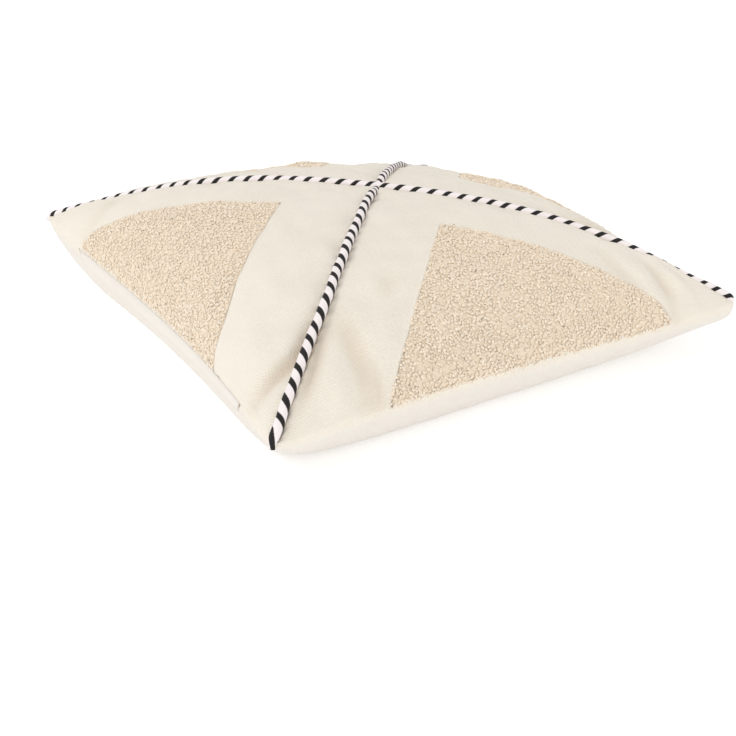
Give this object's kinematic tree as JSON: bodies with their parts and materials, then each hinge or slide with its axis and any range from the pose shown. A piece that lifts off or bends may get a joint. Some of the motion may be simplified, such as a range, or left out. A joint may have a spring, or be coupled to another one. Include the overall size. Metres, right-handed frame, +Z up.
{
  "type": "throw cushion",
  "caption": "Square filled throw cushion lying on its back: canvas cover, striped piping from corner to corner across the front, and a boucle triangle in each quarter.",
  "frame": {"origin": "on the resting surface, under the middle of the cushion's outline", "axes": "+Z up through the crowned front; X and Y along the sides, with the covered opening under the seam of the -X side and the long piping from the -X +Y corner to the +X -Y corner"},
  "size_m": [0.4377, 0.44, 0.1166],
  "materials": {
    "canvas": "unbleached basket-weave cotton canvas, matt, softly creased",
    "boucle": "beige boucle of small tight curls on a woven backing, matt and fuzzy",
    "striped_cotton": "white cotton with near-black stripes, bias-cut around a cord, smooth and matt"
  },
  "bodies": {
    "root": {"cushion": "canvas", "piping_long": "striped_cotton", "piping_near": "striped_cotton", "piping_far": "striped_cotton", "boucle_left": "boucle", "boucle_front": "boucle", "boucle_right": "boucle", "boucle_back": "boucle", "zip_flap": "canvas"}
  },
  "joints": []
}
